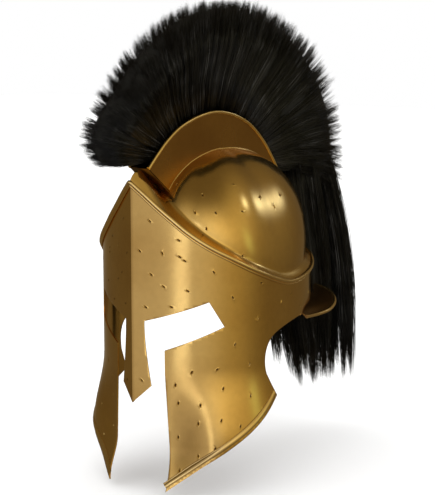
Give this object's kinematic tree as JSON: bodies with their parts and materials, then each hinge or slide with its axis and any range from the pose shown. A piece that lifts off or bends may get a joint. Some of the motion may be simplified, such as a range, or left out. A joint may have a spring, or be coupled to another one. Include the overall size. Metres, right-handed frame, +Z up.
{
  "type": "corinthian helmet with crest",
  "caption": "Brass Corinthian helmet: T-shaped face opening, nasal and cheek plates, domed bowl, crest box with a black horsehair fan and tail, and a short flared neck guard.",
  "frame": {"origin": "inside top of the skull bowl, where the helmet sits on a head", "axes": "+Z up, the face looks along -Y, +X is the wearer's left"},
  "size_m": [0.218, 0.4609, 0.5056],
  "materials": {
    "brass": "antique satin",
    "dark_brass": "dark tarnished satin",
    "polished_edge": "worn polished",
    "horsehair": "satin black hair"
  },
  "bodies": {
    "root": {"face_wall": "brass", "skull_bowl": "brass", "brow_ridge": "polished_edge", "crest_box": "dark_brass", "neck_guard": "dark_brass", "cheek_band_left": "polished_edge", "cheek_band_right": "polished_edge", "plume_crest": "horsehair", "plume_tail": "horsehair"}
  },
  "joints": []
}
